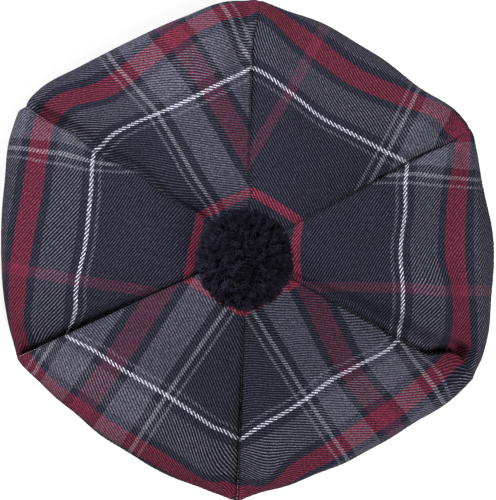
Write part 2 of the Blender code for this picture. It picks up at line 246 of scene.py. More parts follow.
PUCKERS, PUCKER_LENGTHS, PUCKER_HEIGHT = 4, (6, 15), 0.16  # short waves along each side of a seam
PUCKER_SLANT, PUCKER_REACH, PUCKER_CLEAR = 0.5, 6.0, 3.0  # how they lean, how far they go, their start
PUCKER_SEED = 3

# Pulls move the cloth of all the gores near a place in plan: the place, the shift and rise, and their reach.
Pull = namedtuple("Pull", "x y dx dy dz reach")
PULLS = (
    Pull(4.6, 138.0, 3.4, 1.2, -0.5, 12.0),
    Pull(0.0, 132.0, 0.0, 0.0, -4.0, 8.0),
    Pull(118.0, 64.5, -0.8, -2.6, -0.5, 12.0),
    Pull(128.0, 47.0, 0.5, 0.0, -5.0, 12.0),
    Pull(119.0, -66.0, 4.0, 8.6, -3.0, 12.0),
    Pull(104.0, -59.0, 0.4, -1.0, 0.0, 9.0),
    Pull(-62.0, 40.5, 1.2, 3.8, -0.5, 16.0),
    Pull(-28.0, 20.0, 3.2, 0.9, 0.0, 13.0),
    Pull(1.0, 33.5, 1.5, 0.0, 0.0, 10.0),
    Pull(-101.0, 67.0, 0.8, 2.4, -0.5, 14.0),
    Pull(-5.0, -128.0, 0.0, 0.0, -4.2, 9.0),
    Pull(-112.0, -52.0, 0.0, 0.0, -1.5, 15.0),
)

SHARP_EDGE = math.radians(60)

# ---------------------------------------------------------------- the headband, the pompom and the stage

# The headband, in mm
BAND_FACES_DOWN, BAND_FACES_ROUND_RIM, BAND_FACES_ROUND = 26, 8, 960
BAND_TOP_PLACE = 52.0  # place in the repeat at the band's top, inside the cap
BAND_WAVES, BAND_WAVE_HEIGHT, BAND_WAVE_CLEAR = (5, 9, 14, 23), 0.10, 6.0  # waves round it, clear of its rims
JOIN_DIP, JOIN_WIDE = 0.5, 0.8  # the upright seam that closes the band
GROOVE_DIP, BETWEEN_DIP, GROOVE_WIDE = 0.25, 0.2, 0.8  # a groove along the stitches, deeper between them
STITCH_LONG, STITCH_WIDTH = 0.72, 0.5  # a stitch's share of its step, and the thread's width
STITCH_SUNK, STITCH_BOW = 0.62, 0.42  # how deep a stitch's ends lie, and how far its middle bows out again
STITCH_POINTS, STITCH_SIDES = 7, 8

# The pompom, in mm
POMPOM_RADIUS_UP = 26.5
POMPOM_SEED = 5
CORE_SHARE, CORE_SHADE_TONE, CORE_ROUNDS = 0.86, 0.3, 4  # the ball of packed yarn inside, its tone painted dark as the shade within the pompom
END_SCATTER, YARN_LEAN = 0.035, 0.05  # how unevenly the yarn ends lie, and how far they lean
YARN_LENGTH, FIBRE_UNEVEN = (0.985, 0.025), 0.022  # shares of the radius: the clipped yarns' mean and spread
YARN_TONES, FIBRE_TONES = (0.35, 1.9), (0.7, 1.3)  # darkest and palest, against the wool's colour
PAINTED_SHADE_SIDE, SIDE_SHADING = (1.0, 0.25, 0.0), 0.35  # the wool is painted darker on this side, as shade, and painted lighter on the other, as light
FIBRE_SPREAD, LEAN_GROWTH = 0.6, 4  # the fibres' share of the spread, and how fast a lean grows outwards
CROWN_REST, CROWN_FALL, CROWN_REACH = 0.9, 4.0, 30.0  # the wool's rest above the crown, and the crown's fall
TIE_TOP, KNOT_HEIGHT = 96.0, 78.7  # the tie goes from inside the ball down to the middle of the knot
TIE_WIDTH, TIE_WAVER, TIE_POINTS = 3.2, 0.2, 12
KNOT_TURNS = 2  # the yarn goes round the knot so often, and crosses itself once more
KNOT_YARN_WIDTH, KNOT_RADIUS, KNOT_LOOP, KNOT_POINTS = 3.4, 2.1, 1.1, 73
ROPE_SIDES, FIBRE_SIDES = 10, 3
STEEP = 0.9  # a line is steep where its direction rises more than this
SLANTING = (0.31, 0.17, 0.94)  # a direction that no line runs in, unless it is steep

# The points of a fibre: how far out they lie, their share of the fibres' spread, how much they curl, and how
# thick the fibre is there.
FibrePoint = namedtuple("FibrePoint", "out wander curl thick")
FIBRE_POINTS = (
    FibrePoint(0.72, 0.4, 0.0, 1.0),
    FibrePoint(0.9, 0.7, 0.05, 1.0),
    FibrePoint(1.0, 1.0, 0.0, 0.5),
)

# The stage, in metres
PICTURE_WIDTH = 496
LIGHT_DISTANCE, KEY_SIZE, OVERHEAD_SIZE = 3.0, 1.5, 5.0
FLOOR_HALF_WIDTH = 12.0
FLOOR_GAP = 0.0002

# ---------------------------------------------------------------- the looks of yarn

# The two yarns of the cloth: their pitch in mm, the cells a millimetre of their uneven tone to the side and
# outwards, how uneven that is, how brightly their crests are painted, as painted light against the painted
# shade of the gaps between ribs, and how high they stand in the cloth.
YarnLook = namedtuple("YarnLook", "pitch side_cells out_cells uneven strength level")
YARN_LOOKS = {
    "outward": YarnLook(0.648, 0.9, 0.85, 0.60, 1.50, 0.6),
    "round": YarnLook(0.437, 0.85, 0.9, 0.40, 1.95, 0.85),
}
STRAND_HEIGHT = 0.25  # how far a single yarn stands out of its rib
ROUND_MARGIN, OUTWARD_HALF = 0.10, 0.22  # shares of the pitch: beside the round crest, half the outward one
RIB_WAVER, WAVER_CELLS = 0.15, 0.22  # the ribs' waver, as a share of their pitch, and its cells a millimetre
FLECK_CELLS, FLECK_TONES = 0.75, (0.85, 1.15)
FUZZ_CELLS, FUZZ_HEIGHT = 7.0, 0.3
NOISE_RANGE = (0.3, 0.7)  # where most of a noise lies
WOOL_CELLS, THREAD_CELLS, SPECKLE_TONES = 900.0, 2500.0, (0.7, 1.3)  # cells a metre

# ---------------------------------------------------------------- settings


def tint(name, description, default):
    """A colour that the maker can change."""
    return FloatVectorProperty(
        name=name, description=description, subtype="COLOR", min=0, max=1, default=default,
    )


class ClothSettings(bpy.types.PropertyGroup):
    """The tartan cloth and how it is sewn."""

    round_navy: tint("Round navy", "Navy yarn that runs round the cap", (0.0363, 0.0363, 0.0599))
    outward_navy: tint("Outward navy", "Navy yarn that runs outwards", (0.0078, 0.0078, 0.0133))
    round_grey: tint("Round grey", "Grey yarn that runs round the cap", (0.0885, 0.0855, 0.1215))
    outward_grey: tint("Outward grey", "Grey yarn that runs outwards", (0.1045, 0.1025, 0.1365))
    round_faint: tint("Round faint grey", "Thin grey line round the cap", (0.1080, 0.1080, 0.1480))
    outward_faint: tint("Outward faint grey", "Thin grey lines that run outwards", (0.1370, 0.1370, 0.1650))
    round_white: tint("Round white", "White line round the cap", (0.5200, 0.5200, 0.6300))
    outward_white: tint("Outward white", "White lines that run outwards", (0.2100, 0.2100, 0.2400))
    round_red: tint("Round red", "Red yarn that runs round the cap", (0.1650, 0.0235, 0.0490))
    outward_red: tint("Outward red", "Red yarn that runs outwards", (0.0860, 0.0120, 0.0285))
    # Painted lighter than the round red, though it is the same yarn: painted light on the ring round the
    # crown
    round_thin_red: tint("Round thin red", "Thin red line round the crown", (0.2450, 0.0330, 0.0700))
    outward_thin_red: tint("Outward thin red", "Thin red lines that run outwards", (0.0860, 0.0120, 0.0285))
    thick: FloatProperty(
        name="Thickness", description="Thickness of the cloth wall", unit="LENGTH", min=0.001, max=0.003,
        default=2.0 * MM,
    )
    rib_pitch: FloatProperty(
        name="Rib pitch", description="Distance between the twill's ribs", unit="LENGTH",
        min=0.0005, max=0.005, default=1.58 * MM,
    )
    rib_lean: FloatProperty(
        name="Rib lean", description="Angle of the ribs from the outward yarn", subtype="ANGLE",
        min=0, max=1.57, default=math.radians(56),
    )
    round_share: FloatProperty(
        name="Round yarn share", description="Share of the face that the yarn round the cap covers",
        subtype="FACTOR", min=0.3, max=0.9, default=0.66,
    )
    rib_height: FloatProperty(
        name="Rib height", description="How far the ribs stand up", unit="LENGTH", min=0, max=0.001,
        default=0.22 * MM,
    )
    seam_depth: FloatProperty(
        name="Seam depth", description="How far the cloth rolls down into a seam", unit="LENGTH", min=0,
        max=0.005, default=3.4 * MM,
    )
    allowance: FloatProperty(
        name="Seam allowance", description="Width of the cloth turned back inside a seam", unit="LENGTH",
        min=0, max=0.02, default=8.0 * MM,
    )


class BandSettings(bpy.types.PropertyGroup):
    """The headband and its stitching."""

    thick: FloatProperty(
        name="Thickness", description="Thickness of the doubled cloth", unit="LENGTH", min=0.001, max=0.005,
        default=2.5 * MM,
    )
    stitch: FloatProperty(
        name="Stitch", description="Length of a stitch", unit="LENGTH", min=0.001, max=0.01, default=2.5 * MM,
    )
    stitch_rise: FloatProperty(
        name="Stitch line", description="Height of the stitched line above the rim", unit="LENGTH", min=0.001,
        max=0.02, default=4.0 * MM,
    )
    thread: tint("Thread", "Colour of the sewing thread", (0.030, 0.030, 0.045))


class PompomSettings(bpy.types.PropertyGroup):
    """The wool pompom."""

    yarns: IntProperty(
        name="Yarn ends", description="Count of clipped yarn ends", min=100, max=3000, default=820,
    )
    fibres: IntProperty(name="Fibres", description="Count of fibres in a yarn end", min=3, max=30, default=15)
    fibre_width: FloatProperty(
        name="Fibre width", description="Width of a fibre at its root", unit="LENGTH", min=0.0001, max=0.002,
        default=0.55 * MM,
    )
    spread: FloatProperty(
        name="Spread", description="How far the fibres of a yarn end spread", unit="LENGTH", min=0, max=0.01,
        default=1.5 * MM,
    )
    wool: tint("Wool", "Colour of the wool", (0.0112, 0.0102, 0.0182))


class StageSettings(bpy.types.PropertyGroup):
    """The camera, floor and lights."""

    camera_height: FloatProperty(
        name="Camera height", description="Height of the camera above the floor", unit="LENGTH",
        min=0.5, max=5, default=1.33,
    )
    edge_height: FloatProperty(
        name="Edge height", description="Height at which the pixel size is true", unit="LENGTH",
        min=0, max=0.1, default=0.03,
    )
    pixel: FloatProperty(
        name="Pixel", description="Size of a pixel of the picture at the cap's edge", unit="LENGTH",
        min=0.0001, max=0.01, precision=6, default=0.58 * MM,
    )
    key: FloatProperty(
        name="Key light", description="Power of the key light", unit="POWER", min=0, default=118.0,
    )
    fill: FloatProperty(
        name="Fill light", description="Power of the fill light", unit="POWER", min=0, default=96.0,
    )
    overhead: FloatProperty(
        name="Overhead light", description="Power of the light straight above", unit="POWER",
        min=0, default=10.0,
    )
    key_turn: FloatProperty(
        name="Key direction", description="Direction that the key light comes from", subtype="ANGLE",
        default=math.radians(132),
    )
    key_rise: FloatProperty(
        name="Key elevation", description="How high the key light stands", subtype="ANGLE",
        default=math.radians(30),
    )
    fill_turn: FloatProperty(
        name="Fill direction", description="Direction that the fill light comes from", subtype="ANGLE",
        default=math.radians(315),
    )
    fill_rise: FloatProperty(
        name="Fill elevation", description="How high the fill light stands", subtype="ANGLE",
        default=math.radians(58),
    )
    room: FloatProperty(name="Room light", description="Strength of the light all round", min=0, default=0.15)
    floor: tint("Floor", "Colour of the floor", (0.93, 0.93, 0.93))
    floor_glow: FloatProperty(
        name="Floor glow", description="Strength of the floor's own faint light", min=0, default=0.18,
    )


SETTINGS = {
    "tam_cloth": ClothSettings,
    "tam_band": BandSettings,
    "tam_pompom": PompomSettings,
    "tam_stage": StageSettings,
}

# ---------------------------------------------------------------- curves and rows


def smooth_across(places, values, at):
    """A smooth curve through values at the given places, read at many places."""
    knots = np.asarray(places, float)
    values = np.asarray(values, float)
    steps = np.diff(knots)
    rises = np.diff(values) / steps
    inner = (rises[:-1] * steps[1:] + rises[1:] * steps[:-1]) / (steps[:-1] + steps[1:])
    slopes = np.concatenate([rises[:1], inner, rises[-1:]])
    i = np.clip(np.searchsorted(knots, at, side="right") - 1, 0, len(steps) - 1)
    return hermite(values[i], values[i + 1], slopes[i], slopes[i + 1], steps[i], (at - knots[i]) / steps[i])


def hermite(start, end, start_slope, end_slope, step, share):
    """A curve from start to end with the given slopes, at a share of the step."""
    return (
        start * (1 + 2 * share) * (1 - share) ** 2
        + start_slope * step * share * (1 - share) ** 2
        + end * share * share * (3 - 2 * share)
        + end_slope * step * share * share * (share - 1)
    )


def smoothstep(value):
    """Rises smoothly from 0 at 0 to 1 at 1."""
    t = np.clip(value, 0.0, 1.0)
    return t * t * (3 - 2 * t)


def half_angle(gore):
    """Half the angle between a gore's seams, in radians."""
    return math.radians((SEAMS[gore.left_seam].angle - SEAMS[gore.right_seam].angle) % 360.0) / 2


def middle_angle(gore):
    """The direction straight out through a gore's middle, in radians."""
    return math.radians(SEAMS[gore.right_seam].angle) + half_angle(gore)


def vaulted(middle, left_end, right_end, across):
    """The heights of a row that stands up between its two ends."""
    share = (across + 1) / 2
    fullness = 1 - np.abs(across) ** VAULT_POWER
    return left_end * (1 - share) + right_end * share + (middle - (left_end + right_end) / 2) * fullness


def row_points(gore, distances, seam_distances, heights, across):
    """A row's points at many places across the gore, in mm from the crown's point."""
    turn = half_angle(gore)
    left, right = seam_distances
    share = (across + 1) / 2
    side = math.sin(turn) * (right * share - left * (1 - share))
    ends = left * math.cos(turn), right * math.cos(turn)
    out = smooth_across((-1, *ROW_PLACES, 1), (ends[0], *distances, ends[1]), across)
    middle = middle_angle(gore)
    x = out * math.cos(middle) + side * math.sin(middle)
    y = out * math.sin(middle) - side * math.cos(middle)
    return np.stack([x, y, vaulted(*heights, across)], axis=1)


def bowed(middle, left_end, right_end):
    """Distances at ROW_PLACES of a row that bows evenly between its ends, from its middle's distance."""
    bow = middle - (left_end + right_end) / 2
    return [left_end + (right_end - left_end) * (p + 1) / 2 + bow * (1 - p * p) for p in ROW_PLACES]


def gore_rows(gore, across):
    """The rows of a gore from the crown to the hem: points, places in the repeat and steps, in mm."""
    left, right = SEAMS[gore.left_seam], SEAMS[gore.right_seam]
    straight = math.cos(half_angle(gore))  # how far straight out a step along a seam goes
    hole = CROWN_HOLE_RADIUS / straight
    white_height = WHITE_HEIGHT - DOME_SLOPE * (gore.white[ROW_PLACES.index(0.0)] - WHITE_MEAN)
    thin_red = bowed(gore.thin_red, left.thin_red * straight, right.thin_red * straight)
    red_heights = (gore.red_height, left.red_height, right.red_height)
    table = (
        ([CROWN_HOLE_RADIUS] * len(ROW_PLACES), (hole, hole), (CROWN_HEIGHT,) * 3),
        (thin_red, (left.thin_red, right.thin_red), THIN_RED_HEIGHTS),
        (gore.white, (left.white, right.white), (white_height, WHITE_SEAM_HEIGHT, WHITE_SEAM_HEIGHT)),
        (gore.wide_red, (left.wide_red, right.wide_red), red_heights),
        (gore.edge, (left.edge, right.edge), EDGE_HEIGHTS),
    )
    rows = [row_points(gore, *row, across) for row in table]
    red, edge = rows[-2:]
    rows.insert(SHOULDER_ROW, red + (edge - red) * (SHOULDER_OUT, SHOULDER_OUT, 1 - SHOULDER_UP))
    full_reach = np.hypot(edge[:, 0], edge[:, 1])[:, None]
    outwards = edge[:, :2] / full_reach
    for row in UNDERSIDE:
        plan = outwards * (BAND_RADIUS + row.reach * (full_reach - BAND_RADIUS))
        height = vaulted(row.middle_height, row.seam_height, row.seam_height, across)
        rows.append(np.column_stack([plan, height]))
    seat = np.full(len(across), BAND_TALL + HEM_GAP)
    for reach in (BAND_RADIUS + HEM_BEND, BAND_RADIUS - HEM_WIDE):
        rows.append(np.column_stack([outwards * reach, seat]))
    points = np.array(rows)
    lengths = np.linalg.norm(np.diff(points, axis=0), axis=2)
    places = np.zeros(points.shape[:2])
    places[CROWN_ROW] = -lengths[CROWN_ROW]
    places[WHITE_ROW] = WHITE_PLACE
    places[WIDE_RED_ROW] = HALF_REPEAT
    places[SHOULDER_ROW:] = HALF_REPEAT + np.cumsum(lengths[WIDE_RED_ROW:], axis=0)
    return points, places, lengths


def along_rows(values, lengths, faces):
    """Values of the rows, joined by smooth curves and read at even steps of each faces count."""
    steps = lengths[..., None]
    rises = np.diff(values, axis=0) / steps
    inner = (rises[:-1] * steps[1:] + rises[1:] * steps[:-1]) / (steps[:-1] + steps[1:])
    slopes = np.concatenate([rises[:1], inner, rises[-1:]])
    found = []
    for k, count in enumerate(faces):
        for j in range(count):
            found.append(hermite(values[k], values[k + 1], slopes[k], slopes[k + 1], steps[k], j / count))
    found.append(values[-1])
    return np.array(found)


def grid_normals(grid):
    """Unit vectors out of a grid's surface, at its points."""
    normal = np.cross(np.gradient(grid, axis=1), np.gradient(grid, axis=0))
    return normal / np.linalg.norm(normal, axis=2, keepdims=True)


def seam_normals(grid, gore):
    """Unit vectors out of a gore's surface, which turn into the seam's upright plane close to it."""
    normal = grid_normals(grid)
    for inwards in seam_sides(gore):
        near = np.clip(grid @ inwards, 0, None)
        across = (normal @ inwards) * np.exp(-((near / SEAM_REACH) ** 2))
        normal = normal - across[..., None] * inwards
    return normal / np.linalg.norm(normal, axis=2, keepdims=True)


def seam_sides(gore):
    """For each seam of a gore, the level unit vector from the seam's upright plane into the gore."""
    found = []
    for seam, side in ((SEAMS[gore.left_seam], 1), (SEAMS[gore.right_seam], -1)):
        angle = math.radians(seam.angle)
        found.append(side * np.array([math.sin(angle), -math.cos(angle), 0.0]))
    return found


def keep_between_seams(points, gore):
    """Moves points that lie too near a seam's upright plane, or past it, back into the gore's own wedge."""
    for inwards in seam_sides(gore):
        short = SEAM_GAP / 2 - points @ inwards
        points = points + np.clip(short, 0, None)[..., None] * inwards
    return points


def outward_yarn_places(name, points, row):
    """The places in the repeat of the yarns that run outwards, found from the gore's named stripes."""
    middle = middle_angle(GORES[name])
    offset = points[..., 0] * math.sin(middle) - points[..., 1] * math.cos(middle)
    at = np.clip(row, THIN_RED_ROW, EDGE_ROW)
    crossed = (THIN_RED_ROW, WHITE_ROW, WIDE_RED_ROW, EDGE_ROW)
    stripes = STRIPES[name]
    tracks = [smooth_across(crossed, stripe[1:], at) for stripe in stripes]
    place = stripes[0].place + (offset - tracks[0]) * SIDE_STRETCH
    for before, after, left, right in zip(stripes[:-1], stripes[1:], tracks[:-1], tracks[1:]):
        between = before.place + (after.place - before.place) * (offset - left) / (right - left)
        place = np.where(offset > left, between, place)
    beyond = stripes[-1].place + (offset - tracks[-1]) * SIDE_STRETCH
    return np.where(offset > tracks[-1], beyond, place)


def slow_waves(name, places):
    """The gentle unevenness of a gore's cloth, in mm."""
    random = np.random.default_rng(WAVE_SEED + list(GORES).index(name))
    height = np.zeros(places.shape[:2])
    for _ in range(WAVES):
        turn, phase = random.uniform(0, math.tau, 2)
        length = random.uniform(*WAVE_LENGTHS)
        way = places[..., 0] * math.cos(turn) + places[..., 1] * math.sin(turn)
        height += length / WAVE_LENGTHS[1] * WAVE_HEIGHT * np.sin(math.tau * way / length + phase)
    return height


def fold_heights(name, points):
    """How far the folds raise the cloth of a gore, in mm."""
    height = np.zeros(points.shape[:2])
    for fold in FOLDS:
        if fold.gore != name:
            continue
        start = np.array([fold.x0, fold.y0])
        way = np.array([fold.x1, fold.y1]) - start
        share = np.clip(((points[..., :2] - start) @ way) / (way @ way), 0, 1)
        off = np.linalg.norm(points[..., :2] - start - share[..., None] * way, axis=-1)
        height += fold.tall * np.exp(-((off / fold.wide) ** 2))
    return height


# ---------------------------------------------------------------- meshes


def grid_faces(rows, columns, first=0):
    """The four-cornered faces of a grid of points that is kept row by row, seen from its outside."""
    j, i = np.meshgrid(np.arange(rows - 1), np.arange(columns - 1), indexing="ij")
    a = first + (j * columns + i).ravel()
    return np.stack([a, a + 1, a + columns + 1, a + columns], axis=1)


def rim_faces(line, other):
    """Faces between two lines of points."""
    return np.stack([line[:-1], line[1:], other[1:], other[:-1]], axis=1)


def placed(name, data):
    """A new object that is in the scene."""
    made = bpy.data.objects.new(name, data)
    bpy.context.scene.collection.objects.link(made)
    return made


def cloth_object(name, points, faces, places, material):
    """A smooth cloth object. places are the yarns' places at each face's corners, in metres."""
    mesh = bpy.data.meshes.new(name)
    mesh.from_pydata(points.tolist(), [], faces.tolist())
    layer = mesh.uv_layers.new(name="cloth")
    layer.data.foreach_set("uv", places.astype(np.float32).ravel())
    mesh.materials.append(material)
    mesh.shade_smooth()
    mesh.set_sharp_from_angle(angle=SHARP_EDGE)
    return placed(name, mesh)


def stand_for(made, node):
    """The object rides on the cap and stands for the node of the frame, which is hidden."""
    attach(made, BODY)
    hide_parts(node)


def gore_outside(name, cloth):
    """The outside of a gore as rows of points in mm.

    With them come the directions out of the plain gore, the places of its yarns, and each point's nearness
    to a seam, its row and the share by which it lies before the hem.
    """
    gore = GORES[name]
    spread = np.linspace(-1, 1, FACES_ACROSS + 1)
    across = np.sign(spread) * (1 - (1 - np.abs(spread)) ** SEAM_CROWDING)
    rows, places, lengths = gore_rows(gore, across)
    faces = (*UPPER_FACES, *[row.faces for row in UNDERSIDE], *HEM_FACES)
    found = along_rows(np.concatenate([rows, places[..., None]], axis=2), lengths, faces)
    points, round_place = found[..., :3], found[..., 3]
    row = np.array([k + j / count for k, count in enumerate(faces) for j in range(count)] + [len(faces)])
    row = np.repeat(row[:, None], len(across), axis=1)
    left, right = [np.clip(points @ inwards, 0, None) for inwards in seam_sides(gore)]
    near = np.minimum(left, right)

    notch = np.where(left < right, SEAMS[gore.left_seam].notch, SEAMS[gore.right_seam].notch)
    pull = notch * np.exp(-((near / NOTCH_REACH) ** 2)) * notch_share(row)
    points[..., :2] *= (1 - pull / np.hypot(points[..., 0], points[..., 1]))[..., None]

    yarns = np.stack([outward_yarn_places(name, points, row), round_place], axis=2)
    above = smoothstep((row - THIN_RED_ROW) / LIFT_ROWS) * smoothstep(EDGE_ROW + 1 - row)
    lift = (fold_heights(name, pulled(points)) + slow_waves(name, yarns)) * smoothstep(near / LIFT_CLEAR)
    lift = (lift + puckers(name, points, left, right)) * above
    before_hem = smoothstep((len(faces) - HEM_CLEAR - row) / HEM_FADES)
    roll = seam_roll(name, cloth, points, row, left, right) * before_hem
    normals = seam_normals(points, gore)
    inwards = smoothstep(row - ROLL_ROW)[..., None]
    down = normals * inwards + (0, 0, 1) * (1 - inwards)
    points = points + normals * lift[..., None] - down * roll[..., None]
    return points, normals, yarns, near, row, before_hem


def notch_share(row):
    """How much of a notch each row has: it grows out to the edge and ends on the underside."""
    grown = smoothstep((row - WIDE_RED_ROW) / NOTCH_GROWS)
    return grown * smoothstep((EDGE_ROW + NOTCH_HOLDS + NOTCH_ENDS - row) / NOTCH_ENDS)


def seam_roll(name, cloth, points, row, left, right):
    """How far a gore sinks towards its seams, in mm.

    At each seam one gore dips, and the other rolls over sharply.
    """
    gore = GORES[name]
    reach = np.hypot(points[..., 0], points[..., 1])
    past_crown = smoothstep(row - THIN_RED_ROW)
    start = cloth.seam_depth / MM * (CROWN_DEPTH + (1 - CROWN_DEPTH) * past_crown)
    total = np.zeros(row.shape)
    for seam, near in ((SEAMS[gore.left_seam], left), (SEAMS[gore.right_seam], right)):
        if seam.low == name:
            roll = 1 - smoothstep(near / (seam.wide * np.minimum(1, reach / VALLEY_FULL)) - VALLEY_FLOOR)
        else:
            share = np.clip(1 - near / LIP, 0, 1)
            roll = 1 - np.sqrt(1 - share**2)
        at_end = smoothstep(row - seam.fade)
        total += (seam.deep * start * (1 - at_end) + SEAM_END * at_end) * roll
        total += HOLLOW * np.exp(-near / HOLLOW_REACH) * past_crown * smoothstep(EDGE_ROW + HOLLOW_ROWS - row)
    return total


def puckers(name, points, left, right):
    """The short waves that the stitches pull into the cloth beside a seam, in mm."""
    random = np.random.default_rng(PUCKER_SEED + list(GORES).index(name))
    reach = np.hypot(points[..., 0], points[..., 1])
    height = np.zeros(reach.shape)
    for near in (left, right):
        for _ in range(PUCKERS):
            length = random.uniform(*PUCKER_LENGTHS)
            phase = random.uniform(0, math.tau)
            slant = random.uniform(-PUCKER_SLANT, PUCKER_SLANT)
            wave = np.sin(math.tau * (reach + slant * near) / length + phase)
            height += PUCKER_HEIGHT * wave * np.exp(-near / PUCKER_REACH) * smoothstep(near / PUCKER_CLEAR)
    return height


def pulled(points):
    """Points of the cloth moved by the pulls."""
    moved = points.copy()
    for pull in PULLS:
        away = np.hypot(points[..., 0] - pull.x, points[..., 1] - pull.y)
        moved += np.exp(-((away / pull.reach) ** 2))[..., None] * np.array([pull.dx, pull.dy, pull.dz])
    return moved


def gore_object(name, cloth, material):
    """A gore: a wall of cloth, closed all round, with its seam allowances turned back inside."""
    gore, thick = GORES[name], cloth.thick / MM
    outside, normals, yarns, near, row, before_hem = gore_outside(name, cloth)
    turned_back = smoothstep((cloth.allowance / MM - near) / ALLOWANCE_STEP)
    turned_back = turned_back * smoothstep((row - ALLOWANCE_ROW) / ALLOWANCE_GROWS) * before_hem
    inwards = seam_normals(outside, gore) + normals
    inwards /= np.linalg.norm(inwards, axis=2, keepdims=True)
    inside = outside - inwards * (thick + ALLOWANCE_THICK * turned_back)[..., None]
    hem = row >= row.max() - 1
    inside[hem] = outside[hem] + (0, 0, thick)
    points = np.concatenate([outside.reshape(-1, 3), inside.reshape(-1, 3)])
    points = pulled(keep_between_seams(points, gore)) * MM + np.array(CROWN)
    rows, columns = row.shape
    count = rows * columns
    index = np.arange(count).reshape(rows, columns)
    faces = [grid_faces(rows, columns), grid_faces(rows, columns, first=count)[:, ::-1]]
    for line in (index[:, 0], index[::-1, -1], index[0, ::-1], index[-1]):
        faces.append(rim_faces(line, line + count))
    faces = np.concatenate(faces)
    places = np.concatenate([yarns.reshape(-1, 2)] * 2) * MM
    return cloth_object(name, points, faces, places[faces.ravel()], material)


def band_section(band):
    """The headband's section, from its top down the outside, round the fold and up the inside, in mm.

    Each point has its reach, its height, and the share of an outward dip that moves it.
    """
    thick = band.thick / MM
    bend = thick / 2
    drop = np.linspace(BAND_TALL, bend, BAND_FACES_DOWN + 1)
    turn = np.linspace(0, math.pi, BAND_FACES_ROUND_RIM + 1)[1:-1]
    wall = np.ones(len(drop))
    rim = BAND_RADIUS - bend + bend * np.cos(turn)
    reach = np.concatenate([wall * BAND_RADIUS, rim, wall * (BAND_RADIUS - thick)])
    height = np.concatenate([drop, bend - bend * np.sin(turn), drop[::-1]])
    return reach, height, np.concatenate([wall, np.cos(turn), -wall])


def stitch_count(band):
    """How many stitches go round the headband."""
    return round(math.tau * BAND_RADIUS * MM / band.stitch)


def band_dips(band, angle, height):
    """How far the headband's cloth stands out at many angles and heights, in mm."""
    between = np.abs(np.sin(angle * stitch_count(band) / 2))
    line = np.exp(-(((height - band.stitch_rise / MM) / GROOVE_WIDE) ** 2))
    random = np.random.default_rng(WAVE_SEED)
    puff = sum(BAND_WAVE_HEIGHT * np.sin(k * angle + random.uniform(0, math.tau)) for k in BAND_WAVES)
    clear = smoothstep(height / BAND_WAVE_CLEAR) * smoothstep((BAND_TALL - height) / BAND_WAVE_CLEAR)
    join = np.exp(-(((angle - math.pi / 2) * BAND_RADIUS / JOIN_WIDE) ** 2))
    dips = -np.outer(GROOVE_DIP + BETWEEN_DIP * between, line) + np.outer(puff, clear)
    return dips - JOIN_DIP * join[:, None]


def band_object(band, material):
    """The headband: cloth folded double over its lower rim, stitched round above the fold."""
    reach, height, side = band_section(band)
    angle = np.linspace(0, math.tau, BAND_FACES_ROUND + 1)[:-1]
    radius = reach + band_dips(band, angle, height) * side
    rise = np.repeat(height[None], len(angle), 0)
    points = np.stack([radius * np.cos(angle)[:, None], radius * np.sin(angle)[:, None], rise], axis=2)
    count, ring = radius.shape
    j, i = [index.ravel() for index in np.meshgrid(np.arange(count), np.arange(ring), indexing="ij")]
    next_j, next_i = (j + 1) % count, (i + 1) % ring
    faces = np.stack([j * ring + i, j * ring + next_i, next_j * ring + next_i, next_j * ring + i], axis=1)
    down = np.concatenate([[0], np.cumsum(np.hypot(np.diff(reach), np.diff(height)))])
    down = np.append(down, down[-1] + band.thick / MM)
    side_places = np.stack([j, j, j + 1, j + 1], axis=1) * (math.tau * BAND_RADIUS / count)
    down_places = BAND_TOP_PLACE + np.stack([down[i], down[i + 1], down[i + 1], down[i]], axis=1)
    places = np.stack([side_places, down_places], axis=2).reshape(-1, 2) * MM
    return cloth_object("headband", points.reshape(-1, 3) * MM + np.array(CROWN), faces, places, material)


def stitches_object(band, material):
    """The stitches round the outside of the headband: short bowed threads whose ends go into the cloth."""
    count = stitch_count(band)
    share = np.linspace(-0.5, 0.5, STITCH_POINTS)
    reach = BAND_RADIUS - STITCH_SUNK + STITCH_BOW * np.cos(math.pi * share)
    height = np.full(STITCH_POINTS, band.stitch_rise / MM)
    points, faces = np.zeros((0, 3)), []
    for k in range(count):
        angle = math.tau * (k + STITCH_LONG * share) / count
        line = np.column_stack([reach * np.cos(angle), reach * np.sin(angle), height])
        points, faces = with_rope(points, faces, line, STITCH_WIDTH, STITCH_SIDES)
    mesh = bpy.data.meshes.new("headband_stitches")
    mesh.from_pydata((points * MM + np.array(CROWN)).tolist(), [], faces)
    return yarn_object("headband_stitches", mesh, material)


def yarn_object(name, mesh, material):
    """A smooth object of yarn or thread."""
    mesh.shade_smooth()
    mesh.materials.append(material)
    return placed(name, mesh)


def rope(points, width, sides):
    """A capped round tube along points, as points and faces."""
    way = np.gradient(points, axis=0)
    way /= np.linalg.norm(way, axis=1, keepdims=True)
    first = np.cross(way, SLANTING if abs(way[0, 2]) < STEEP else (1.0, 0.0, 0.0))
    first /= np.linalg.norm(first, axis=1, keepdims=True)
    second = np.cross(way, first)
    turn = np.arange(sides) * math.tau / sides
    ring = np.cos(turn)[None, :, None] * first[:, None] + np.sin(turn)[None, :, None] * second[:, None]
    skin = (points[:, None] + ring * width / 2).reshape(-1, 3)
    faces = []
    for step in range(len(points) - 1):
        for k in range(sides):
            a, b = step * sides + k, step * sides + (k + 1) % sides
            faces.append([a, b, b + sides, a + sides])
    last = (len(points) - 1) * sides
    faces += [list(range(sides))[::-1], list(range(last, last + sides))]
    return skin, faces


def with_rope(points, faces, line, width, sides):
    """Points and faces with one more tube, along a line."""
    skin, tube = rope(line, width, sides)
    tube = [[corner + len(points) for corner in face] for face in tube]
    return np.concatenate([points, skin]), faces + tube


# ---------------------------------------------------------------- the pompom


def ball_directions(count):
    """Directions spread evenly over a ball."""
    k = np.arange(count) + 0.5
    tilt = np.arccos(1 - 2 * k / count)
    turn = math.pi * (1 + math.sqrt(5)) * k
    return np.column_stack([np.cos(turn) * np.sin(tilt), np.sin(turn) * np.sin(tilt), np.cos(tilt)])


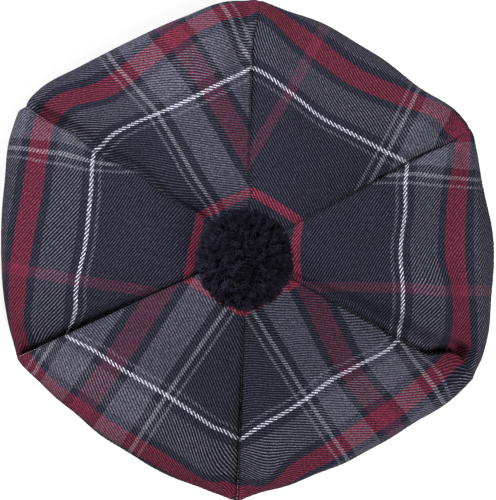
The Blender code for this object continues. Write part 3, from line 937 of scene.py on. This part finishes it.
def above_crown(points):
    """Lifts points of the pompom that would sink into the crown, so that they lie on it. In mm."""
    reach = np.hypot(points[..., 0], points[..., 1])
    ground = CROWN_HEIGHT + CROWN_REST - CROWN_FALL * (reach / CROWN_REACH) ** 2
    points[..., 2] = np.maximum(points[..., 2], ground)
    return points


def fibre_tubes(lines, widths):
    """Three-sided tubes along many short lines of points, as points and faces."""
    count, steps = lines.shape[:2]
    sides = FIBRE_SIDES
    way = lines[:, -1] - lines[:, 0]
    way /= np.linalg.norm(way, axis=1, keepdims=True)
    helper = np.where(np.abs(way[:, 2:3]) < STEEP, (0.0, 0.0, 1.0), (1.0, 0.0, 0.0))
    first = np.cross(way, helper)
    first /= np.linalg.norm(first, axis=1, keepdims=True)
    second = np.cross(way, first)
    turns = np.arange(sides) * math.tau / sides
    ring = np.cos(turns)[None, :, None] * first[:, None] + np.sin(turns)[None, :, None] * second[:, None]
    points = lines[:, :, None] + ring[:, None] * (widths / 2)[None, :, None, None]
    base = (np.arange(count) * steps * sides)[:, None]
    faces = []
    for step in range(steps - 1):
        for k in range(sides):
            a, b = step * sides + k, step * sides + (k + 1) % sides
            faces.append(base + np.array([a, b, b + sides, a + sides]))
    corners = np.arange(sides)
    caps = np.concatenate([base + corners[::-1], base + (steps - 1) * sides + corners])
    return points.reshape(-1, 3), np.concatenate(faces).tolist() + caps.tolist()


def tie_and_knot():
    """The lines and widths of the pompom's tie through the crown and of the knot inside it, in mm."""
    down = np.linspace(TIE_TOP, KNOT_HEIGHT, TIE_POINTS)
    tie = np.column_stack([TIE_WAVER * np.sin(down), TIE_WAVER * np.cos(down), down])
    turn = KNOT_TURNS * np.linspace(0, math.tau, KNOT_POINTS)
    crossing = (KNOT_TURNS + 1) * np.linspace(0, math.tau, KNOT_POINTS)
    reach = KNOT_RADIUS + KNOT_LOOP * np.cos(crossing)
    rise = KNOT_HEIGHT + KNOT_LOOP * np.sin(crossing)
    knot = np.column_stack([reach * np.cos(turn), reach * np.sin(turn), rise])
    return (tie, TIE_WIDTH), (knot, KNOT_YARN_WIDTH)


def fibre_lines(settings, centre, radii):
    """The lines that the pompom's fibres follow, in mm, and the fibres' tones."""
    random = np.random.default_rng(POMPOM_SEED)
    ends = ball_directions(settings.yarns)
    ends += random.normal(0, END_SCATTER, ends.shape)
    yarn_length = random.normal(*YARN_LENGTH, len(ends))
    # Painted shade on one side of the ball, and painted light on the other
    yarn_tone = random.uniform(*YARN_TONES, len(ends)) * (1 - SIDE_SHADING * ends @ PAINTED_SHADE_SIDE)
    fibres = settings.fibres
    way = np.repeat(ends, fibres, axis=0)
    length = np.repeat(yarn_length, fibres) * random.normal(1, FIBRE_UNEVEN, len(way))
    apart = random.normal(0, 1, way.shape)
    spread = settings.spread / MM / radii.mean()
    lean = np.repeat(random.normal(0, YARN_LEAN, ends.shape), fibres, axis=0)
    curls = random.normal(0, 1, way.shape)
    lines = []
    for point in FIBRE_POINTS:
        turned = way + apart * spread * point.wander * FIBRE_SPREAD
        turned = turned + lean * (point.out - FIBRE_POINTS[0].out) * LEAN_GROWTH + curls * point.curl
        turned /= np.linalg.norm(turned, axis=1, keepdims=True)
        lines.append(centre + turned * radii * (point.out * length)[:, None])
    tones = np.repeat(yarn_tone, fibres) * random.uniform(*FIBRE_TONES, len(way))
    return above_crown(np.stack(lines, axis=1)), tones


def add_core(mesh, centre, radii):
    """Adds the ball of packed yarn that the fibres grow out of, painted dark as the shade within the pompom.
    """
    shape = bmesh.new()
    shape.from_mesh(mesh)
    tone = shape.verts.layers.float["tone"]
    for vert in bmesh.ops.create_icosphere(shape, subdivisions=CORE_ROUNDS, radius=1.0)["verts"]:
        place = centre + np.array(vert.co) * radii * CORE_SHARE
        vert.co = Vector(above_crown(place) * MM) + CROWN
        vert[tone] = CORE_SHADE_TONE
    shape.to_mesh(mesh)
    shape.free()


def pompom_object(settings, material):
    """A ball of clipped yarn ends, each opened into fibres, on a tie that goes down into a knot."""
    low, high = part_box("pompom")
    up = POMPOM_RADIUS_UP * MM
    radii = np.array([(high.x - low.x) / 2, (high.y - low.y) / 2, up]) / MM
    centre = np.array([(low.x + high.x) / 2 - CROWN.x, (low.y + high.y) / 2 - CROWN.y, high.z - up]) / MM
    lines, tones = fibre_lines(settings, centre, radii)
    widths = settings.fibre_width / MM * np.array([point.thick for point in FIBRE_POINTS])
    points, faces = fibre_tubes(lines, widths)
    tones = np.repeat(tones, lines.shape[1] * FIBRE_SIDES)
    for line, width in tie_and_knot():
        points, faces = with_rope(points, faces, line, width, ROPE_SIDES)
    tones = np.concatenate([tones, np.ones(len(points) - len(tones))])
    mesh = bpy.data.meshes.new("pompom")
    mesh.from_pydata((points * MM + np.array(CROWN)).tolist(), [], faces)
    mesh.attributes.new("tone", "FLOAT", "POINT").data.foreach_set("value", tones.astype(np.float32))
    add_core(mesh, centre, radii)
    return yarn_object("pompom", mesh, material)


# ---------------------------------------------------------------- materials


class Nodes:
    """Adds shader nodes to a new material and joins them up."""

    def __init__(self, name):
        self.material = bpy.data.materials.new(name)
        self.material.use_nodes = True
        self.tree = self.material.node_tree
        self.shader = self.tree.nodes["Principled BSDF"]

    def feed(self, socket, value):
        """Links another node's output to a socket, or sets the socket to a number, vector or colour."""
        if isinstance(value, bpy.types.NodeSocket):
            self.tree.links.new(value, socket)
        else:
            socket.default_value = value

    def add(self, kind, *inputs, named=None, **options):
        """A new node with these options, and its first inputs and its named ones fed."""
        node = self.tree.nodes.new(kind)
        for option, value in options.items():
            setattr(node, option, value)
        for socket, value in zip(node.inputs, inputs):
            self.feed(socket, value)
        for socket, value in (named or {}).items():
            self.feed(node.inputs[socket], value)
        return node

    def math(self, operation, *inputs):
        """The result of a Math node."""
        return self.add("ShaderNodeMath", *inputs, operation=operation).outputs[0]

    def mixed(self, factor, first, second, blend="MIX"):
        """Two colours mixed by a factor."""
        node = self.add("ShaderNodeMix", data_type="RGBA", blend_type=blend)
        for socket, value in zip((node.inputs[0], node.inputs[6], node.inputs[7]), (factor, first, second)):
            self.feed(socket, value)
        return node.outputs[2]

    def ramp(self, value, stops, interpolation="LINEAR"):
        """A colour ramp with stops of (position, colour)."""
        node = self.add("ShaderNodeValToRGB", value)
        node.color_ramp.interpolation = interpolation
        elements = node.color_ramp.elements
        for k, (position, colour) in enumerate(stops):
            element = elements[k] if k < 2 else elements.new(position)
            element.position = position
            element.color = colour if len(colour) == 4 else (*colour, 1.0)
        return node.outputs

    def curve(self, value, stops, interpolation="EASE"):
        """A number that follows stops of (position, number)."""
        return self.ramp(value, [(position, (number,) * 3) for position, number in stops], interpolation)[0]

    def between(self, value, low, high, to_low, to_high):
        """A number moved from one range to another."""
        return self.add("ShaderNodeMapRange", value, low, high, to_low, to_high).outputs[0]

    def noise(self, side, out, side_cells, out_cells, detail=2.0):
        """Flat noise from 0 to 1 over the cloth, with so many cells a millimetre each way."""
        across, along = self.math("MULTIPLY", side, side_cells), self.math("MULTIPLY", out, out_cells)
        place = self.add("ShaderNodeCombineXYZ", across, along).outputs[0]
        sockets = {"Vector": place, "Scale": 1.0, "Detail": detail}
        return self.add("ShaderNodeTexNoise", named=sockets, noise_dimensions="2D").outputs[0]

    def speckle(self, cells, detail):
        """Noise from 0 to 1 all through the object, with so many cells a metre."""
        place = self.add("ShaderNodeTexCoord").outputs["Object"]
        sockets = {"Vector": place, "Scale": cells, "Detail": detail}
        return self.add("ShaderNodeTexNoise", named=sockets).outputs[0]

    def stretched(self, noise, low, high):
        """Noise moved from where most of it lies to a range."""
        return self.between(noise, *NOISE_RANGE, low, high)


def sett_colour(nodes, cloth, way, place):
    """The colour of a yarn at a place in the tartan's repeat, in mm, and how much of it is kept in the
    painted shade of the gaps between ribs.

    way is round or outward: the two yarns differ in their colours.
    """
    turned = nodes.math("PINGPONG", place, HALF_REPEAT)
    share = nodes.math("DIVIDE", turned, HALF_REPEAT)
    stops = []
    for round_start, outward_start, colour in SETT:
        start = round_start if way == "round" else outward_start
        stops.append((start / HALF_REPEAT, (*getattr(cloth, f"{way}_{colour}"), SHADED_GAP_FILL[colour])))
    return nodes.ramp(share, stops, "CONSTANT")


def rib_crests(nodes, cloth, side, out):
    """How much of each yarn shows, falling from its crest to painted shade in the gaps between ribs: in each
    rib, a wide crest of round yarn beside a narrow outward one.

    The twill's ribs lean, and waver a little.
    """
    pitch = cloth.rib_pitch / MM
    lean_out, lean_side = math.sin(cloth.rib_lean) / pitch, math.cos(cloth.rib_lean) / pitch
    waver = nodes.between(nodes.noise(side, out, WAVER_CELLS, WAVER_CELLS), 0, 1, -RIB_WAVER, RIB_WAVER)
    phase = nodes.math("MULTIPLY_ADD", out, lean_out, nodes.math("MULTIPLY_ADD", side, lean_side, waver))
    share = nodes.math("FRACT", phase)
    edge = cloth.round_share
    stops = {
        "round": ((ROUND_MARGIN, 0.0), (edge / 2, 1.0), (edge - ROUND_MARGIN, 0.0), (1.0, 0.0)),
        "outward": ((edge - OUTWARD_HALF, 0.0), (edge, 1.0), (edge + OUTWARD_HALF, 0.0), (1.0, 0.0)),
    }
    return {way: nodes.curve(share, stops[way]) for way in stops}


def cloth_colour(nodes, cloth, side, out, crests):
    """The colours of the yarns where they show, painted dark as shade in the gaps between ribs and bright on
    their crests, each with its own uneven tone, and the flecks over them.
    """
    parts = []
    for way, place in (("outward", side), ("round", out)):
        look = YARN_LOOKS[way]
        colours, fill = sett_colour(nodes, cloth, way, place)
        # Painted shade: each yarn's colour falls from its crest into the gaps between ribs
        shown_and_shaded = nodes.math("MAXIMUM", crests[way], fill)
        tone = nodes.noise(side, out, look.side_cells, look.out_cells)
        tone = nodes.stretched(tone, (1 - look.uneven) * look.strength, (1 + look.uneven) * look.strength)
        parts.append(nodes.mixed(1.0, colours, nodes.math("MULTIPLY", shown_and_shaded, tone), "MULTIPLY"))
    flecks = nodes.stretched(nodes.noise(side, out, FLECK_CELLS, FLECK_CELLS, detail=1.0), *FLECK_TONES)
    return nodes.mixed(1.0, nodes.mixed(1.0, *parts, "ADD"), flecks, "MULTIPLY")


def cloth_relief(nodes, side, out, crests):
    """How high the cloth stands: its ribs, the yarns in them and the fuzz on them."""
    height = nodes.math("MULTIPLY", nodes.noise(side, out, FUZZ_CELLS, FUZZ_CELLS), FUZZ_HEIGHT)
    for way, place in (("round", out), ("outward", side)):
        look = YARN_LOOKS[way]
        strand = nodes.math("SINE", nodes.math("MULTIPLY", place, math.pi / look.pitch))
        strand = nodes.math("MULTIPLY_ADD", nodes.math("ABSOLUTE", strand), STRAND_HEIGHT, look.level)
        height = nodes.math("MULTIPLY_ADD", crests[way], strand, height)
    return height


def tartan_material(cloth):
    """Twill of coloured yarns. The yarns' places come from the map named cloth."""
    nodes = Nodes("tartan cloth")
    split = nodes.add("ShaderNodeSeparateXYZ", nodes.add("ShaderNodeUVMap", uv_map="cloth").outputs[0])
    side, out = [nodes.math("MULTIPLY", axis, 1 / MM) for axis in split.outputs[:2]]
    crests = rib_crests(nodes, cloth, side, out)
    nodes.feed(nodes.shader.inputs["Base Color"], cloth_colour(nodes, cloth, side, out, crests))
    relief = {"Height": cloth_relief(nodes, side, out, crests), "Strength": 1.0, "Distance": cloth.rib_height}
    nodes.feed(nodes.shader.inputs["Normal"], nodes.add("ShaderNodeBump", named=relief).outputs[0])
    finish_wool(nodes.shader)
    return nodes.material


def finish_wool(shader):
    """Wool scatters light softly and has a faint bloom."""
    shader.inputs["Roughness"].default_value = 0.92
    shader.inputs["Specular IOR Level"].default_value = 0.05
    shader.inputs["Sheen Weight"].default_value = 0.01
    shader.inputs["Sheen Roughness"].default_value = 0.6


def pompom_material(settings):
    """Black wool whose fibres differ a little in tone, with painted shade on one side of the ball and on its
    core, and painted light on the other side.
    """
    nodes = Nodes("pompom wool")
    tone = nodes.add("ShaderNodeAttribute", attribute_name="tone").outputs["Fac"]
    speckle = nodes.stretched(nodes.speckle(WOOL_CELLS, detail=2.0), *SPECKLE_TONES)
    spread = nodes.math("MULTIPLY", tone, speckle)
    nodes.feed(nodes.shader.inputs["Base Color"], nodes.mixed(1.0, (*settings.wool, 1.0), spread, "MULTIPLY"))
    finish_wool(nodes.shader)
    return nodes.material


def thread_material(band):
    """Twisted sewing thread."""
    nodes = Nodes("sewing thread")
    tone = nodes.stretched(nodes.speckle(THREAD_CELLS, detail=1.0), *SPECKLE_TONES)
    nodes.feed(nodes.shader.inputs["Base Color"], nodes.mixed(1.0, (*band.thread, 1.0), tone, "MULTIPLY"))
    finish_wool(nodes.shader)
    return nodes.material


def floor_material(stage):
    """A plain pale floor, which glows a little so that the shadows on it stay faint."""
    nodes = Nodes("floor")
    nodes.feed(nodes.shader.inputs["Emission Color"], (*stage.floor, 1.0))
    nodes.feed(nodes.shader.inputs["Emission Strength"], stage.floor_glow)
    nodes.feed(nodes.shader.inputs["Base Color"], (*stage.floor, 1.0))
    nodes.feed(nodes.shader.inputs["Roughness"], 0.9)
    nodes.feed(nodes.shader.inputs["Specular IOR Level"], 0.1)
    return nodes.material


def soft_light(name, power, turn, rise, size):
    """A round soft light that shines on the cap from a direction and elevation."""
    lamp = bpy.data.lights.new(name, "AREA")
    lamp.energy = power
    lamp.shape = "DISK"
    lamp.size = size
    made = placed(name, lamp)
    flat = math.cos(rise)
    made.location = LIGHT_DISTANCE * Vector((flat * math.cos(turn), flat * math.sin(turn), math.sin(rise)))
    made.rotation_euler = (-made.location).to_track_quat("-Z", "Y").to_euler()


def camera_object(stage):
    """The camera straight above, which sees the picture's width at the height of the cap's edge."""
    camera = placed("camera", bpy.data.cameras.new("camera"))
    camera.location = (0, 0, stage.camera_height)
    camera.data.sensor_fit = "HORIZONTAL"
    wide = PICTURE_WIDTH * stage.pixel
    camera.data.lens = camera.data.sensor_width * (stage.camera_height - stage.edge_height) / wide
    return camera


def room_world(stage):
    """Plain light from all round."""
    world = bpy.data.worlds.new("room")
    world.use_nodes = True
    background = world.node_tree.nodes["Background"]
    background.inputs["Color"].default_value = (1, 1, 1, 1)
    background.inputs["Strength"].default_value = stage.room
    return world


def floor_object(stage):
    """The floor just below the cap's lowest rim. Diffuse light doesn't come back from it."""
    mesh = bpy.data.meshes.new("floor")
    half = FLOOR_HALF_WIDTH
    corners = [(-half, -half, 0), (half, -half, 0), (half, half, 0), (-half, half, 0)]
    mesh.from_pydata(corners, [], [(0, 1, 2, 3)])
    mesh.materials.append(floor_material(stage))
    floor = placed("floor", mesh)
    floor.location.z = -FLOOR_GAP
    floor.visible_diffuse = False
    return floor


# ---------------------------------------------------------------- operators


class TAM_OT_sew_gores(bpy.types.Operator):
    """Make the six tartan gores round the gores of the frame"""

    bl_idname = "tam.sew_gores"
    bl_label = "Sew gores"

    def execute(self, context):
        cloth = context.scene.tam_cloth
        material = tartan_material(cloth)
        for name in GORES:
            made = gore_object(name, cloth, material)
            stand_for(made, name)
        return {"FINISHED"}


class TAM_OT_sew_headband(bpy.types.Operator):
    """Make the folded headband and the stitches round it"""

    bl_idname = "tam.sew_headband"
    bl_label = "Sew headband"

    def execute(self, context):
        band = context.scene.tam_band
        material = bpy.data.materials.get("tartan cloth") or tartan_material(context.scene.tam_cloth)
        for made in (band_object(band, material), stitches_object(band, thread_material(band))):
            stand_for(made, "headband")
        return {"FINISHED"}


class TAM_OT_tie_pompom(bpy.types.Operator):
    """Make the wool pompom with its tie and knot"""

    bl_idname = "tam.tie_pompom"
    bl_label = "Tie pompom"

    def execute(self, context):
        settings = context.scene.tam_pompom
        made = pompom_object(settings, pompom_material(settings))
        stand_for(made, "pompom")
        return {"FINISHED"}


class TAM_OT_set_stage(bpy.types.Operator):
    """Set the camera straight above, on a pale floor in soft light"""

    bl_idname = "tam.set_stage"
    bl_label = "Set stage"

    def execute(self, context):
        scene, stage = context.scene, context.scene.tam_stage
        scene.camera = camera_object(stage)
        soft_light("key light", stage.key, stage.key_turn, stage.key_rise, KEY_SIZE)
        soft_light("fill light", stage.fill, stage.fill_turn, stage.fill_rise, KEY_SIZE)
        soft_light("overhead light", stage.overhead, 0.0, math.pi / 2, OVERHEAD_SIZE)
        scene.world = room_world(stage)
        scene.view_settings.view_transform = "Standard"
        floor = floor_object(stage)
        return {"FINISHED"}


class TAM_PT_panel(bpy.types.Panel):
    """Buttons and settings of the tam o' shanter"""

    bl_label = "Tam o' shanter"
    bl_idname = "TAM_PT_panel"
    bl_space_type = "VIEW_3D"
    bl_region_type = "UI"
    bl_category = "Tam o' shanter"

    def draw(self, context):
        for operator, group in zip(OPERATORS, SETTINGS):
            box = self.layout.box()
            box.operator(operator.bl_idname)
            settings = getattr(context.scene, group)
            for name in settings.__annotations__:
                box.prop(settings, name)


OPERATORS = (TAM_OT_sew_gores, TAM_OT_sew_headband, TAM_OT_tie_pompom, TAM_OT_set_stage)


def register():
    """Registers the settings, the operators and the panel."""
    for made in (*SETTINGS.values(), *OPERATORS, TAM_PT_panel):
        bpy.utils.register_class(made)
    for name, group in SETTINGS.items():
        setattr(bpy.types.Scene, name, PointerProperty(type=group))


def unregister():
    """Takes them away again."""
    for name in SETTINGS:
        delattr(bpy.types.Scene, name)
    for made in reversed((*SETTINGS.values(), *OPERATORS, TAM_PT_panel)):
        bpy.utils.unregister_class(made)


def main():
    """Makes the whole cap on its stage."""
    register()
    for operator in OPERATORS:
        group, name = operator.bl_idname.split(".")
        getattr(getattr(bpy.ops, group), name)()


if __name__ == "__main__":
    main()
